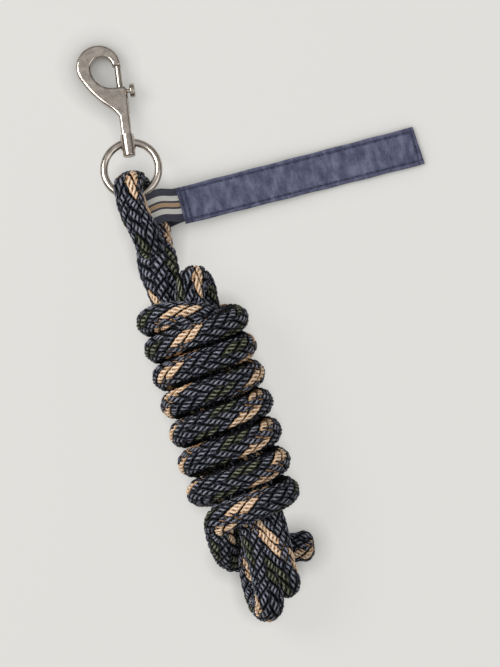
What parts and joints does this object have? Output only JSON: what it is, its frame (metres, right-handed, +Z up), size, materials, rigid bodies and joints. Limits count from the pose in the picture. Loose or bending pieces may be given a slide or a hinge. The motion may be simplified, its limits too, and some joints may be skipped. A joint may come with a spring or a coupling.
{
  "type": "lead rope",
  "caption": "Braided horse lead rope wound into a hank, with a spliced eye, a swivel bolt snap with a spring bolt, and a stitched cloth tag on a ribbon loop.",
  "frame": {"origin": "on the surface the hank lies on, under the middle of the whole object's box", "axes": "+Y along the hank towards the snap, +X towards the tag's free end, +Z up"},
  "size_m": [0.1875, 0.3502, 0.058],
  "materials": {
    "braided_rope": "matt braid, dark blue-grey with olive and tan yarns",
    "snap_metal": "polished black nickel",
    "spring_steel": "drawn wire",
    "tag_cloth": "woven twill, dark blue",
    "ribbon": "satin ribbon with pale stripes",
    "thread": "sewing thread"
  },
  "bodies": {
    "rope": {"rope_eye": "braided_rope", "rope_splice": "braided_rope", "rope_hank": "braided_rope", "rope_top_bight": "braided_rope", "rope_bight_left": "braided_rope", "rope_bight_right": "braided_rope", "rope_tail": "braided_rope"},
    "ring": {"swivel_ring": "snap_metal"},
    "hook": {"hook_body": "snap_metal", "swivel_rivet": "snap_metal", "swivel_washer": "snap_metal", "bolt_spring": "spring_steel"},
    "bolt": {"bolt_pin": "snap_metal", "thumb_knob": "snap_metal"},
    "tag": {"ribbon_loop": "ribbon", "tag_front": "tag_cloth", "tag_back": "tag_cloth", "tag_stitching": "thread"}
  },
  "joints": [
    {"name": "ring_tilt", "type": "hinge", "parent": "rope", "child": "ring", "pos_m": [-0.0736, 0.0843, 0.0219], "axis": [0.9885, -0.1482, 0.0302], "range_deg": [0, 75]},
    {"name": "hook_swivel", "type": "hinge", "parent": "ring", "child": "hook", "pos_m": [-0.07119, 0.0997, 0.01877], "axis": [0.1513, 0.9686, -0.1971], "continuous": true},
    {"name": "bolt_slide", "type": "slide", "parent": "hook", "child": "bolt", "axis": [-0.1513, -0.9686, 0.1971], "range_m": [0, 0.012], "stiffness_N_per_m": 400, "springref_m": -0.004, "deforming": ["bolt_spring"]},
    {"name": "tag_swing", "type": "hinge", "parent": "rope", "child": "tag", "pos_m": [-0.0674, 0.0712, 0.0102], "axis": [-0.0349, -0.9994, 0], "range_deg": [0, 80]}
  ]
}
